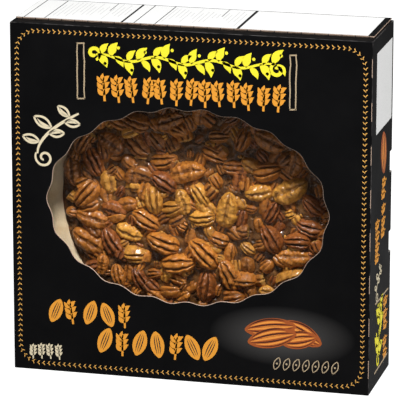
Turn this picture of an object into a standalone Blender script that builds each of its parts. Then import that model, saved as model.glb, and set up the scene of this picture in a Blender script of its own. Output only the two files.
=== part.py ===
"""A pecan pie in its foil tin, standing in a shut windowed carton.

Metres, +Z up. The origin is at the middle of the carton's underside, the front faces -Y and
+X runs to the right along the front. The pie is modelled lying flat and then stood upright.
"""

import math

import bmesh
import bpy
from mathutils import Matrix, Vector

# Carton
CARTON_WIDTH = 0.216
CARTON_DEPTH = 0.060
CARTON_BODY_HEIGHT = 0.2116
BOARD = 0.0006
FOLD_RADIUS = 0.0005
FLAP_THICKNESS = 0.0012
FLAP_FRONT_MARGIN = 0.009
FLAP_SIDE_MARGIN = 0.0012
NOTCH_HEIGHT = 0.0128
NOTCH_ON_SIDE = 0.006
NOTCH_ON_BACK = 0.004
NOTCH_MIDDLES = (0.1274, 0.0785)

# Window
WINDOW_HALF_WIDTH = 0.0840
WINDOW_HALF_HEIGHT = 0.0585
WINDOW_MIDDLE = (-0.0016, 0.1066)
SCALLOPS = 22
SCALLOP_DEPTH = 0.0010
POINTS_PER_SCALLOP = 6
FILM_THICKNESS = 0.0002
FILM_MARGIN = 0.008

# Pie
TIN_RIM_RADIUS = 0.1030
TIN_TOP_RADIUS = 0.0970
TIN_BASE_RADIUS = 0.0780
TIN_DEPTH = 0.0290
FOIL = 0.0003
FLUTES = 40
FLUTE_DEPTH = 0.0007
CRUST_RIM_RADIUS = 0.0985
CRUST_RIM_HEIGHT = 0.0338
FILLING_RADIUS = 0.0850
FILLING_LEVEL = 0.0312
TURNED_STEPS = 48

# Nuts
NUT_WIDTH_RATIO = 0.56
NUT_HEIGHT_RATIO = 0.32
NUT_AROUND = 10
NUT_ALONG = 6
SETTLING_ROUNDS = 120

# The clearance left between pieces that touch
GAP = 0.0003

# Each nut that was laid on the filling: place in millimetres from the pie's middle, heading in
# degrees, length in millimetres, the side that faces up and its tone.
NUTS = (
    (-54, 32, -35, 17, "cleft", "brown"),
    (-38, 32, -45, 20, "ridged", "brown"),
    (-22, 23, 10, 18, "ridged", "amber"),
    (-8, 17, 15, 21, "cleft", "amber"),
    (9, 13, -60, 18, "broken", "amber"),
    (9, 29, -20, 17, "ridged", "amber"),
    (12, 40, 5, 14, "ridged", "brown"),
    (26, 39, 70, 16, "ridged", "amber"),
    (42, 39, -25, 19, "cleft", "brown"),
    (-6, 31, 85, 12, "broken", "amber"),
    (24, 15, 80, 16, "cleft", "red"),
    (41, 21, 15, 19, "ridged", "amber"),
    (57, 27, 75, 16, "cleft", "brown"),
    (36, 8, 10, 17, "cleft", "gold"),
    (55, 10, 30, 22, "cleft", "gold"),
    (69, 2, -40, 16, "ridged", "red"),
    (17, -4, 80, 21, "cleft", "gold"),
    (1, 4, -55, 16, "ridged", "gold"),
    (-10, -1, -75, 16, "cleft", "gold"),
    (1, -10, 5, 17, "ridged", "gold"),
    (-8, -17, -30, 16, "broken", "amber"),
    (-22, 10, -35, 18, "ridged", "red"),
    (-40, 14, 70, 15, "cleft", "brown"),
    (-52, 16, 40, 15, "broken", "brown"),
    (-65, 20, -65, 18, "ridged", "red"),
    (-78, 13, -80, 17, "cleft", "brown"),
    (-69, 0, 50, 20, "ridged", "amber"),
    (-52, -8, -15, 16, "cleft", "red"),
    (-28, -1, -80, 19, "ridged", "gold"),
    (-31, -14, -30, 19, "ridged", "amber"),
    (-66, -15, -15, 20, "cleft", "amber"),
    (-43, -22, -20, 17, "cleft", "gold"),
    (-23, -25, -20, 20, "ridged", "amber"),
    (-54, -29, -60, 19, "ridged", "red"),
    (-39, -35, 3, 17, "ridged", "gold"),
    (-12, -38, 8, 21, "ridged", "amber"),
    (4, -34, -45, 22, "ridged", "amber"),
    (16, -43, -62, 21, "ridged", "amber"),
    (-11, -53, 60, 14, "broken", "brown"),
    (4, -52, 85, 19, "ridged", "red"),
    (-37, -50, -62, 16, "ridged", "red"),
    (-50, -49, -75, 14, "ridged", "amber"),
    (-60, -43, 80, 13, "cleft", "amber"),
    (-68, -29, -28, 21, "cleft", "amber"),
    (44, -3, 62, 15, "ridged", "red"),
    (57, -3, 25, 15, "broken", "gold"),
    (59, -21, 0, 16, "ridged", "red"),
    (44, -20, -58, 19, "ridged", "red"),
    (57, -31, 2, 19, "cleft", "amber"),
    (55, -42, 28, 20, "ridged", "gold"),
    (66, -12, -15, 17, "ridged", "red"),
    (-18, 47, 20, 18, "cleft", "brown"),
    (-38, 45, -20, 18, "ridged", "brown"),
    (-27, 36, -50, 16, "ridged", "brown"),
    (-71, 31, 60, 15, "ridged", "brown"),
)

TONES = {
    "amber": (0.38, 0.16, 0.035),
    "gold": (0.52, 0.26, 0.055),
    "brown": (0.24, 0.10, 0.03),
    "red": (0.22, 0.07, 0.028),
}

for leftover in list(bpy.data.objects):
    bpy.data.objects.remove(leftover)

parts = bpy.data.collections.new("boxed_pecan_pie")
cutters = bpy.data.collections.new("cutters")
bpy.context.scene.collection.children.link(parts)
bpy.context.scene.collection.children.link(cutters)


def finish(name, colour, roughness, metallic=0.0, alpha=1.0):
    """A Principled material in one colour."""
    material = bpy.data.materials.new(name)
    material.use_nodes = True
    shader = material.node_tree.nodes["Principled BSDF"]
    shader.inputs["Base Color"].default_value = (*colour, 1.0)
    shader.inputs["Roughness"].default_value = roughness
    shader.inputs["Metallic"].default_value = metallic
    shader.inputs["Alpha"].default_value = alpha
    return material


def object_from(bm, name, collection):
    """The bmesh as a named object in the collection, faces turned outwards."""
    bmesh.ops.recalc_face_normals(bm, faces=bm.faces)
    mesh = bpy.data.meshes.new(name)
    bm.to_mesh(mesh)
    bm.free()
    made = bpy.data.objects.new(name, mesh)
    collection.objects.link(made)
    return made


def box(name, low, high, collection):
    """A box between two corners."""
    size = Vector(high) - Vector(low)
    middle = (Vector(high) + Vector(low)) / 2
    bm = bmesh.new()
    bmesh.ops.create_cube(bm, size=1.0, matrix=Matrix.Translation(middle) @ Matrix.Diagonal((*size, 1)))
    return object_from(bm, name, collection)


def cutter(shape):
    """Marks an object as a cutter or a joined shape, which isn't a part itself."""
    shape.hide_render = True
    shape.display_type = "WIRE"
    return shape


def combine(target, operation, shape):
    """Adds a live Boolean to the target."""
    modifier = target.modifiers.new(shape.name, "BOOLEAN")
    modifier.operation = operation
    modifier.solver = "EXACT"
    modifier.object = shape


def scalloped_oval(half_width, half_height, scallops, depth, points):
    """An oval with evenly spaced scallops, as (across, up) pairs."""
    fine = [2 * math.pi * step / 1440 for step in range(1441)]
    run = [0.0]
    for before, after in zip(fine, fine[1:]):
        across = half_width * (math.cos(after) - math.cos(before))
        up = half_height * (math.sin(after) - math.sin(before))
        run.append(run[-1] + math.hypot(across, up))
    outline = []
    step = 0
    for number in range(points):
        wanted = run[-1] * number / points
        while run[step + 1] < wanted:
            step += 1
        turn = fine[step] + (fine[step + 1] - fine[step]) * (wanted - run[step]) / (run[step + 1] - run[step])
        normal = Vector((math.cos(turn) / half_width, math.sin(turn) / half_height)).normalized()
        wave = depth * math.cos(2 * math.pi * scallops * number / points)
        outline.append(
            (half_width * math.cos(turn) + wave * normal.x, half_height * math.sin(turn) + wave * normal.y)
        )
    return outline


def make_carton():
    """One folded and glued blank: a shell with the window, the outer top flap and two notches."""
    half_width = CARTON_WIDTH / 2
    half_depth = CARTON_DEPTH / 2
    carton = box("carton", (-half_width, -half_depth, 0), (half_width, half_depth, CARTON_BODY_HEIGHT), parts)
    fold = carton.modifiers.new("folds", "BEVEL")
    fold.width = FOLD_RADIUS
    fold.segments = 2

    inside = box(
        "inside",
        (BOARD - half_width, BOARD - half_depth, BOARD),
        (half_width - BOARD, half_depth - BOARD, CARTON_BODY_HEIGHT - BOARD),
        cutters,
    )
    combine(carton, "DIFFERENCE", cutter(inside))

    sunk = BOARD / 3
    flap = box(
        "outer_flap",
        (FLAP_SIDE_MARGIN - half_width, FLAP_FRONT_MARGIN - half_depth, CARTON_BODY_HEIGHT - sunk),
        (half_width - FLAP_SIDE_MARGIN, half_depth - sunk, CARTON_BODY_HEIGHT + FLAP_THICKNESS),
        cutters,
    )
    combine(carton, "UNION", cutter(flap))

    bm = bmesh.new()
    outline = scalloped_oval(
        WINDOW_HALF_WIDTH, WINDOW_HALF_HEIGHT, SCALLOPS, SCALLOP_DEPTH, SCALLOPS * POINTS_PER_SCALLOP
    )
    start = -half_depth - BOARD
    ring = [bm.verts.new((WINDOW_MIDDLE[0] + x, start, WINDOW_MIDDLE[1] + z)) for x, z in outline]
    sheet = bm.faces.new(ring)
    grown = bmesh.ops.extrude_face_region(bm, geom=[sheet])["geom"]
    moved = [item for item in grown if isinstance(item, bmesh.types.BMVert)]
    bmesh.ops.translate(bm, verts=moved, vec=(0, 3 * BOARD, 0))
    combine(carton, "DIFFERENCE", cutter(object_from(bm, "window", cutters)))

    for number, middle in enumerate(NOTCH_MIDDLES, 1):
        notch = box(
            f"notch_{number}",
            (half_width - NOTCH_ON_BACK, half_depth - NOTCH_ON_SIDE, middle - NOTCH_HEIGHT / 2),
            (half_width + BOARD, half_depth + BOARD, middle + NOTCH_HEIGHT / 2),
            cutters,
        )
        combine(carton, "DIFFERENCE", cutter(notch))
    carton.data.materials.append(finish("printed_board", (0.012, 0.012, 0.013), 0.45))


def make_film():
    """The clear sheet glued behind the front panel, over the window."""
    front = BOARD + GAP - CARTON_DEPTH / 2
    half_width = WINDOW_HALF_WIDTH + FILM_MARGIN
    half_height = WINDOW_HALF_HEIGHT + FILM_MARGIN
    film = box(
        "window_film",
        (WINDOW_MIDDLE[0] - half_width, front, WINDOW_MIDDLE[1] - half_height),
        (WINDOW_MIDDLE[0] + half_width, front + FILM_THICKNESS, WINDOW_MIDDLE[1] + half_height),
        parts,
    )
    film.data.materials.append(finish("clear_film", (0.9, 0.9, 0.9), 0.1, alpha=0.1))


def stand():
    """The empty that stands the pie upright: its base against the back panel, its rim on the floor panel."""
    holder = bpy.data.objects.new("pie_stand", None)
    holder.location = (0, CARTON_DEPTH / 2 - BOARD - GAP, BOARD + GAP + TIN_RIM_RADIUS)
    holder.rotation_euler = (math.radians(90), 0, 0)
    parts.objects.link(holder)
    return holder


def make_tin(holder):
    """A pressed foil tin: flat base, fluted wall, flange and a rolled lip."""
    slope = (TIN_TOP_RADIUS - TIN_BASE_RADIUS) / TIN_DEPTH
    rings = [
        (TIN_BASE_RADIUS - 0.003, 0, 0),
        (TIN_BASE_RADIUS, 0.0012, 0.3),
        (TIN_BASE_RADIUS + slope * TIN_DEPTH / 2, TIN_DEPTH / 2, 1),
        (TIN_TOP_RADIUS - 0.0004, TIN_DEPTH - 0.0014, 1),
        (TIN_TOP_RADIUS + 0.0010, TIN_DEPTH, 0),
        (TIN_RIM_RADIUS - 0.0006, TIN_DEPTH, 0),
        (TIN_RIM_RADIUS, TIN_DEPTH - 0.0012, 0),
    ]
    bm = bmesh.new()
    count = 2 * FLUTES
    loops = []
    for radius, height, fluting in rings:
        loop = []
        for number in range(count):
            turn = 2 * math.pi * number / count
            reach = radius - (number % 2) * fluting * FLUTE_DEPTH
            loop.append(bm.verts.new((reach * math.cos(turn), reach * math.sin(turn), height)))
        loops.append(loop)
    bm.faces.new(reversed(loops[0]))
    for lower, upper in zip(loops, loops[1:]):
        for number in range(count):
            following = (number + 1) % count
            bm.faces.new((lower[number], lower[following], upper[following], upper[number]))
    mesh = bpy.data.meshes.new("pie_tin")
    bm.to_mesh(mesh)
    bm.free()
    tin = bpy.data.objects.new("pie_tin", mesh)
    parts.objects.link(tin)
    wall = tin.modifiers.new("foil", "SOLIDIFY")
    wall.thickness = FOIL
    wall.offset = -1
    tin.data.materials.append(finish("foil", (0.75, 0.76, 0.78), 0.3, metallic=1.0))
    tin.parent = holder


def turned(name, profile, colour, roughness, holder):
    """A solid of revolution about Z, from (radius, height) points that run down its outer side."""
    mesh = bpy.data.meshes.new(name)
    corners = [(radius, 0, height) for radius, height in profile]
    mesh.from_pydata(corners, [(number, number + 1) for number in range(len(corners) - 1)], [])
    made = bpy.data.objects.new(name, mesh)
    parts.objects.link(made)
    screw = made.modifiers.new("turning", "SCREW")
    screw.steps = TURNED_STEPS
    screw.render_steps = TURNED_STEPS
    screw.use_merge_vertices = True
    screw.merge_threshold = 0.00002
    made.data.materials.append(finish(name, colour, roughness))
    made.parent = holder
    return made


def make_crust(holder):
    """The pastry case: a floor, a sloping wall and a rim that lies on the tin's flange."""
    clear = FLUTE_DEPTH + FOIL + 2 * GAP
    floor = FOIL + 2 * GAP
    slope = (TIN_TOP_RADIUS - TIN_BASE_RADIUS) / TIN_DEPTH
    flange = TIN_DEPTH + FOIL + GAP
    turned(
        "crust",
        [
            (0, FILLING_LEVEL - 0.0270),
            (TIN_BASE_RADIUS - 0.0080, FILLING_LEVEL - 0.0270),
            (TIN_BASE_RADIUS - 0.0045, FILLING_LEVEL - 0.0255),
            (FILLING_RADIUS - 0.0014, FILLING_LEVEL - 0.0030),
            (FILLING_RADIUS, FILLING_LEVEL - 0.0010),
            (FILLING_RADIUS + 0.0015, CRUST_RIM_HEIGHT - 0.0014),
            (FILLING_RADIUS + 0.0050, CRUST_RIM_HEIGHT - 0.0002),
            (CRUST_RIM_RADIUS - 0.0030, CRUST_RIM_HEIGHT),
            (CRUST_RIM_RADIUS - 0.0004, CRUST_RIM_HEIGHT - 0.0012),
            (CRUST_RIM_RADIUS, flange + 0.0010),
            (CRUST_RIM_RADIUS - 0.0012, flange),
            (TIN_TOP_RADIUS - clear, flange),
            (TIN_TOP_RADIUS - clear - 0.0012, TIN_DEPTH - 0.0012),
            (TIN_BASE_RADIUS + slope * 0.004 - clear, 0.004),
            (TIN_BASE_RADIUS - 0.0040, floor),
            (0, floor),
        ],
        (0.62, 0.45, 0.24),
        0.7,
        holder,
    )


def make_filling(holder):
    """The set filling, slightly domed, that fills the pastry case."""
    turned(
        "filling",
        [
            (0, FILLING_LEVEL),
            (FILLING_RADIUS * 0.6, FILLING_LEVEL - 0.0002),
            (FILLING_RADIUS - GAP * 1.4, FILLING_LEVEL - 0.0010),
            (FILLING_RADIUS - 0.0014 - GAP * 1.4, FILLING_LEVEL - 0.0030),
            (TIN_BASE_RADIUS - 0.0045 - GAP * 1.4, FILLING_LEVEL - 0.0254),
            (TIN_BASE_RADIUS - 0.0080 - GAP, FILLING_LEVEL - 0.0270 + GAP),
            (0, FILLING_LEVEL - 0.0270 + GAP),
        ],
        (0.16, 0.07, 0.025),
        0.25,
        holder,
    )


def nut_mesh(kind):
    """A pecan half of unit length lying along X on Z = 0, with the kind's side facing up.

    A ridged half shows its outer side, a middle ridge between two grooves; a cleft half shows
    its inner side, two lobes along one cleft; a broken one is a ridged half that ends blunt.
    """
    bm = bmesh.new()
    bmesh.ops.create_uvsphere(bm, u_segments=NUT_AROUND, v_segments=NUT_ALONG, radius=0.5)
    side = math.pi / NUT_AROUND
    for vertex in bm.verts:
        along = vertex.co.z
        across, up = vertex.co.y, vertex.co.x
        turn = abs(math.atan2(across, up))
        scale = 1.0
        if kind == "cleft":
            if turn < side:
                scale = 0.55
        elif side < turn < 3 * side:
            scale = 0.78
        if kind == "broken":
            along = min(along, 0.22)
        taper = 1 - 0.35 * max(along, 0)
        height = up * scale if up > 0 else up * 0.45
        vertex.co = (
            along,
            across * scale * NUT_WIDTH_RATIO * taper,
            (height + 0.225) * NUT_HEIGHT_RATIO / 0.725,
        )
    bm.normal_update()
    bmesh.ops.recalc_face_normals(bm, faces=bm.faces)
    mesh = bpy.data.meshes.new(f"nut_{kind}")
    bm.to_mesh(mesh)
    bm.free()
    return mesh


def settled(nuts):
    """The nuts pushed apart until none lie on each other, and kept inside the crust."""
    places = [Vector((x, y)) * 0.001 for x, y, *_ in nuts]
    spans = []
    for _, _, heading, length, _, _ in nuts:
        ahead = Vector((math.cos(math.radians(heading)), math.sin(math.radians(heading))))
        width = length * NUT_WIDTH_RATIO * 0.001
        reach = (length * 0.001 - width) / 2
        discs = [(ahead * reach * part, width * (0.5 - 0.06 * abs(part))) for part in (-1, 0, 1)]
        spans.append(discs)
    limit = FILLING_RADIUS - 2 * GAP
    for _ in range(SETTLING_ROUNDS):
        for one in range(len(nuts)):
            for other in range(one):
                for offset, radius in spans[one]:
                    for other_offset, other_radius in spans[other]:
                        apart = places[one] + offset - places[other] - other_offset
                        short = radius + other_radius + 2 * GAP - apart.length
                        if short > 0:
                            push = apart.normalized() * short / 2
                            places[one] += push
                            places[other] -= push
            for offset, radius in spans[one]:
                end = places[one] + offset
                if end.length + radius > limit:
                    places[one] -= end.normalized() * (end.length + radius - limit)
    return places


def make_nuts(holder):
    """Every nut is its own object, in three shapes and four tones."""
    meshes = {kind: nut_mesh(kind) for kind in ("ridged", "cleft", "broken")}
    tones = {tone: finish(f"pecan_{tone}", colour, 0.3) for tone, colour in TONES.items()}
    for number, (nut, place) in enumerate(zip(NUTS, settled(NUTS)), 1):
        _, _, heading, length, kind, tone = nut
        mesh = meshes[kind].copy()
        mesh.transform(Matrix.Scale(length * 0.001, 4))
        mesh.materials.append(tones[tone])
        pecan = bpy.data.objects.new(f"pecan_{number:02d}_{kind}_{tone}", mesh)
        pecan.location = (place.x, place.y, FILLING_LEVEL + GAP)
        pecan.rotation_euler = (0, 0, math.radians(heading))
        pecan.parent = holder
        parts.objects.link(pecan)


make_carton()
make_film()
pie_stand = stand()
make_tin(pie_stand)
make_crust(pie_stand)
make_filling(pie_stand)
make_nuts(pie_stand)
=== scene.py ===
import math

import bmesh
import bpy
import numpy as np
from mathutils import Matrix, Vector


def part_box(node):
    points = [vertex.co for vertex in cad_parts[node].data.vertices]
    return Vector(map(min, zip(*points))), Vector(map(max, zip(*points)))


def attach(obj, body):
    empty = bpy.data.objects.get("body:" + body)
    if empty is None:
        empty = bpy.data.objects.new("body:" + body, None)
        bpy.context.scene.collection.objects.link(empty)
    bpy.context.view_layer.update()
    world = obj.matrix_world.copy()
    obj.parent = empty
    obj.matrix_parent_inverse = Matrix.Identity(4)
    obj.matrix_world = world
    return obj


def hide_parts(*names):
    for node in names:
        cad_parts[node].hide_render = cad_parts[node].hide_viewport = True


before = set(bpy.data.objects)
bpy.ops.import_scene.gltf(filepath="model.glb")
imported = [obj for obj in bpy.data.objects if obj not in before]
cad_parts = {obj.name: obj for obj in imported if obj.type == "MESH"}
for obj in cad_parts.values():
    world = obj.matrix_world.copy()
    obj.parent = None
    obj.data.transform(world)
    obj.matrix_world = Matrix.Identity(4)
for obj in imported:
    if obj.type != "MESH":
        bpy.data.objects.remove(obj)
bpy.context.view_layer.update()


# ---------------------------------------------------------------------------------------------
# Camera. It stands a little to the right of the carton and above it, far off with a long lens,
# so that the front, the top and the right-hand panel show with almost parallel edges.
# ---------------------------------------------------------------------------------------------
YAW = math.radians(14.35)
PITCH = math.radians(15.3)
CAMERA_DISTANCE = 2.03
aim = Vector((0.0065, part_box("carton")[0].y, 0.1117))
away = Vector((math.sin(YAW) * math.cos(PITCH), -math.cos(YAW) * math.cos(PITCH), math.sin(PITCH)))
lens = bpy.data.cameras.new("camera")
lens.lens = 314
lens.sensor_width = 36
camera = bpy.data.objects.new("camera", lens)
camera.location = aim + away * CAMERA_DISTANCE
camera.rotation_euler = (-away).to_track_quat("-Z", "Y").to_euler()
bpy.context.scene.collection.objects.link(camera)
bpy.context.scene.camera = camera
bpy.context.scene.view_settings.view_transform = "Standard"


# ---------------------------------------------------------------------------------------------
# Carton. One die-cut blank of folding boxboard, creased, folded round and glued: black print
# outside, bare pulp inside and along every cut edge. The window is cut with a scalloped die that
# crushes the edge, so a thin bevel of raw board shows round the opening.
# ---------------------------------------------------------------------------------------------
BOARD = 0.0006
FLAP = 0.0012
FOLD = 0.0006
CRUSHED = 0.00022
low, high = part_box("carton")
top = high.z - FLAP
window_middle = (-0.0016, 0.1066)
window_half = (0.0840, 0.0585)


def new_material(name, slot_colour, roughness, metallic=0.0):
    """A material with a plain Principled shader, and its node tree and shader."""
    material = bpy.data.materials.new(name)
    material.use_nodes = True
    tree = material.node_tree
    shader = tree.nodes["Principled BSDF"]
    shader.inputs["Base Color"].default_value = (*slot_colour, 1)
    shader.inputs["Roughness"].default_value = roughness
    shader.inputs["Metallic"].default_value = metallic
    return material, tree, shader


def add(tree, kind, wires=(), **values):
    """A node of that kind. wires link its inputs from sockets, values set its inputs or settings."""
    made = tree.nodes.new(kind)
    for key, value in values.items():
        if hasattr(made, key):
            setattr(made, key, value)
        else:
            made.inputs[key.replace("_", " ")].default_value = value
    for name, source in dict(wires).items():
        tree.links.new(source, made.inputs[name])
    return made


def ramp(tree, source, stops):
    """A colour ramp over the source, from (position, colour) stops."""
    made = add(tree, "ShaderNodeValToRGB", {"Fac": source})
    elements = made.color_ramp.elements
    while len(elements) < len(stops):
        elements.new(0.5)
    for element, (position, colour) in zip(elements, stops):
        element.position = position
        element.color = (*colour, 1) if len(colour) == 3 else (colour[0],) * 3 + (1,)
    return made.outputs["Color"]


def new_group(name, inputs, outputs):
    """A shader node group with those sockets, and its input and output nodes."""
    group = bpy.data.node_groups.new(name, "ShaderNodeTree")
    for label, kind, value in inputs:
        socket = group.interface.new_socket(label, in_out="INPUT", socket_type=kind)
        if value is not None:
            socket.default_value = value
    for label, kind in outputs:
        group.interface.new_socket(label, in_out="OUTPUT", socket_type=kind)
    return group, group.nodes.new("NodeGroupInput"), group.nodes.new("NodeGroupOutput")


def make_fibre_group():
    """Pulp fibre and faint cloudiness: a height for bump and a mask of pale and dark flecks."""
    group, entry, leave = new_group(
        "board_fibre",
        [("Scale", "NodeSocketFloat", 1.0)],
        [("Height", "NodeSocketFloat"), ("Cloud", "NodeSocketFloat")],
    )
    place = add(group, "ShaderNodeTexCoord")
    sized = add(group, "ShaderNodeVectorMath", {0: place.outputs["Object"], "Scale": entry.outputs["Scale"]},
                operation="SCALE")
    fine = add(group, "ShaderNodeTexNoise", {"Vector": sized.outputs[0]}, Scale=1400.0, Detail=4.0)
    cloud = add(group, "ShaderNodeTexNoise", {"Vector": sized.outputs[0]}, Scale=26.0, Detail=7.0,
                Roughness=0.62)
    group.links.new(fine.outputs["Fac"], leave.inputs["Height"])
    group.links.new(cloud.outputs["Fac"], leave.inputs["Cloud"])
    return group


fibre_group = make_fibre_group()


def fibre(tree, scale=1.0):
    """The fibre group placed in a material."""
    made = tree.nodes.new("ShaderNodeGroup")
    made.node_tree = fibre_group
    made.inputs["Scale"].default_value = scale
    return made


def bump(tree, shader, height, strength, distance):
    """A Bump node that feeds the shader's normal."""
    made = add(tree, "ShaderNodeBump", {"Height": height}, Strength=strength, Distance=distance)
    tree.links.new(made.outputs["Normal"], shader.inputs["Normal"])


def make_black_print():
    """Black varnished print: cloudy like slate, a grey glow low on the right of the front, folds lighter in
    patches: rubbed wear and painted highlight.
    """
    material, tree, shader = new_material("black_print", (0.005, 0.005, 0.005), 0.46)
    shader.inputs["Specular IOR Level"].default_value = 0.05
    texture = fibre(tree)
    place = add(tree, "ShaderNodeTexCoord")
    slate = ramp(tree, texture.outputs["Cloud"], [(0.35, (0.0028, 0.0028, 0.0031)),
                                                  (0.72, (0.0048, 0.0047, 0.0050))])
    glow_place = add(tree, "ShaderNodeMapping", {"Vector": place.outputs["Object"]}, vector_type="TEXTURE",
                     Location=(0.056, low.y, 0.0325), Scale=(0.044, 0.004, 0.0185))
    glow = add(tree, "ShaderNodeTexGradient", {"Vector": glow_place.outputs[0]}, gradient_type="SPHERICAL")
    lit = ramp(tree, glow.outputs["Fac"], [(0.0, (0,)), (1.0, (1,))])
    mixed = add(tree, "ShaderNodeMix", data_type="RGBA")
    tree.links.new(lit, mixed.inputs["Factor"])
    tree.links.new(slate, mixed.inputs["A"])
    mixed.inputs["B"].default_value = (0.075, 0.072, 0.07, 1)
    shape = add(tree, "ShaderNodeNewGeometry")
    size = add(tree, "ShaderNodeVectorMath", {0: shape.outputs["Normal"]}, operation="ABSOLUTE")
    parts = add(tree, "ShaderNodeSeparateXYZ", {0: size.outputs[0]})
    biggest = add(tree, "ShaderNodeMath", {0: parts.outputs["X"], 1: parts.outputs["Y"]}, operation="MAXIMUM")
    biggest = add(tree, "ShaderNodeMath", {0: biggest.outputs[0], 1: parts.outputs["Z"]}, operation="MAXIMUM")
    # The bevelled folds are painted lighter in patches: partly rubbed wear, partly a painted highlight along
    # each edge.
    fold = ramp(tree, biggest.outputs[0], [(0.72, (1,)), (0.9, (0,))])
    patchy = add(tree, "ShaderNodeTexNoise", {"Vector": place.outputs["Object"]}, Scale=210.0, Detail=5.0)
    patches = ramp(tree, patchy.outputs["Fac"], [(0.4, (0,)), (0.62, (1,))])
    fold_highlight_and_wear = add(tree, "ShaderNodeMath", {0: fold, 1: patches}, operation="MULTIPLY")
    lit_and_worn_folds = add(tree, "ShaderNodeMix", data_type="RGBA")
    tree.links.new(fold_highlight_and_wear.outputs[0], lit_and_worn_folds.inputs["Factor"])
    tree.links.new(mixed.outputs["Result"], lit_and_worn_folds.inputs["A"])
    lit_and_worn_folds.inputs["B"].default_value = (0.14, 0.13, 0.125, 1)
    tree.links.new(lit_and_worn_folds.outputs["Result"], shader.inputs["Base Color"])
    sheen = ramp(tree, texture.outputs["Cloud"], [(0.3, (0.4,)), (0.75, (0.54,))])
    tree.links.new(sheen, shader.inputs["Roughness"])
    bump(tree, shader, texture.outputs["Height"], 0.16, 0.00012)
    return material


def make_pulp(name, colour, darker):
    """Bare board: felted grey-brown pulp."""
    material, tree, shader = new_material(name, colour, 0.9)
    shader.inputs["Specular IOR Level"].default_value = 0.2
    texture = fibre(tree, 1.6)
    shade = ramp(tree, texture.outputs["Height"], [(0.3, darker), (0.7, colour)])
    tree.links.new(shade, shader.inputs["Base Color"])
    bump(tree, shader, texture.outputs["Height"], 0.5, 0.0002)
    return material


black_print = make_black_print()
cut_edge = make_pulp("cut_board_edge", (0.58, 0.43, 0.33), (0.30, 0.21, 0.16))
bare_inside = make_pulp("bare_board_inside", (0.50, 0.47, 0.43), (0.38, 0.35, 0.32))


def to_object(name, bm, *materials):
    """The bmesh as an object in the scene, with faces turned outwards."""
    bm.normal_update()
    bmesh.ops.recalc_face_normals(bm, faces=bm.faces)
    mesh = bpy.data.meshes.new(name)
    bm.to_mesh(mesh)
    bm.free()
    made = bpy.data.objects.new(name, mesh)
    bpy.context.scene.collection.objects.link(made)
    for material in materials:
        mesh.materials.append(material)
    return made


def mesh_object(name, points, faces, *materials, smooth=True):
    """An object from arrays of points and faces."""
    mesh = bpy.data.meshes.new(name)
    mesh.from_pydata(np.asarray(points).tolist(), [], faces if isinstance(faces, list) else faces.tolist())
    mesh.polygons.foreach_set("use_smooth", [smooth] * len(mesh.polygons))
    made = bpy.data.objects.new(name, mesh)
    bpy.context.scene.collection.objects.link(made)
    for material in materials:
        mesh.materials.append(material)
    return made


def block(name, corner, opposite, *materials):
    """A box between two corners."""
    size = Vector(opposite) - Vector(corner)
    middle = (Vector(opposite) + Vector(corner)) / 2
    bm = bmesh.new()
    bmesh.ops.create_cube(bm, size=1, matrix=Matrix.Translation(middle) @ Matrix.Diagonal((*size, 1)))
    return to_object(name, bm, *materials)


def settle(piece):
    """Turns the piece and its modifiers into a plain mesh."""
    bpy.context.view_layer.update()
    plain = bpy.data.meshes.new_from_object(piece.evaluated_get(bpy.context.evaluated_depsgraph_get()))
    piece.modifiers.clear()
    piece.data = plain


def cut(piece, cutter, operation="DIFFERENCE"):
    """Joins or cuts with another object, which is used up."""
    modifier = piece.modifiers.new("cut", "BOOLEAN")
    modifier.operation = operation
    modifier.solver = "MANIFOLD"
    modifier.object = cutter
    settle(piece)
    bpy.data.objects.remove(cutter)


def scalloped_oval(half_width, half_height, grow, count=22, depth=0.0010, steps=12):
    """The window's outline: evenly spaced scallops round an oval, pushed outwards by grow."""
    turns = np.linspace(0, 2 * np.pi, 2881)
    x, z = half_width * np.cos(turns), half_height * np.sin(turns)
    run = np.concatenate([[0], np.cumsum(np.hypot(np.diff(x), np.diff(z)))])
    share = np.arange(count * steps) / (count * steps)
    turn = np.interp(share * run[-1], run, turns)
    normal = np.stack([np.cos(turn) / half_width, np.sin(turn) / half_height], 1)
    normal /= np.linalg.norm(normal, axis=1)[:, None]
    wave = depth * np.cos(2 * np.pi * count * share) + grow
    return np.stack([half_width * np.cos(turn), half_height * np.sin(turn)], 1) + normal * wave[:, None]


def window_die():
    """The cutting die: wide at the printed face, then straight through the board."""
    levels = [(-BOARD, CRUSHED * 2), (0, CRUSHED), (CRUSHED * 0.6, 0), (BOARD * 3, 0)]
    bm = bmesh.new()
    rings = []
    for depth, grow in levels:
        outline = scalloped_oval(*window_half, grow)
        rings.append(
            [bm.verts.new((window_middle[0] + u, low.y + depth, window_middle[1] + v)) for u, v in outline]
        )
    bm.faces.new(rings[0])
    bm.faces.new(rings[-1])
    for before, after in zip(rings, rings[1:]):
        for one in range(len(before)):
            two = (one + 1) % len(before)
            bm.faces.new((before[one], before[two], after[two], after[one]))
    return to_object("die", bm)


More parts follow.
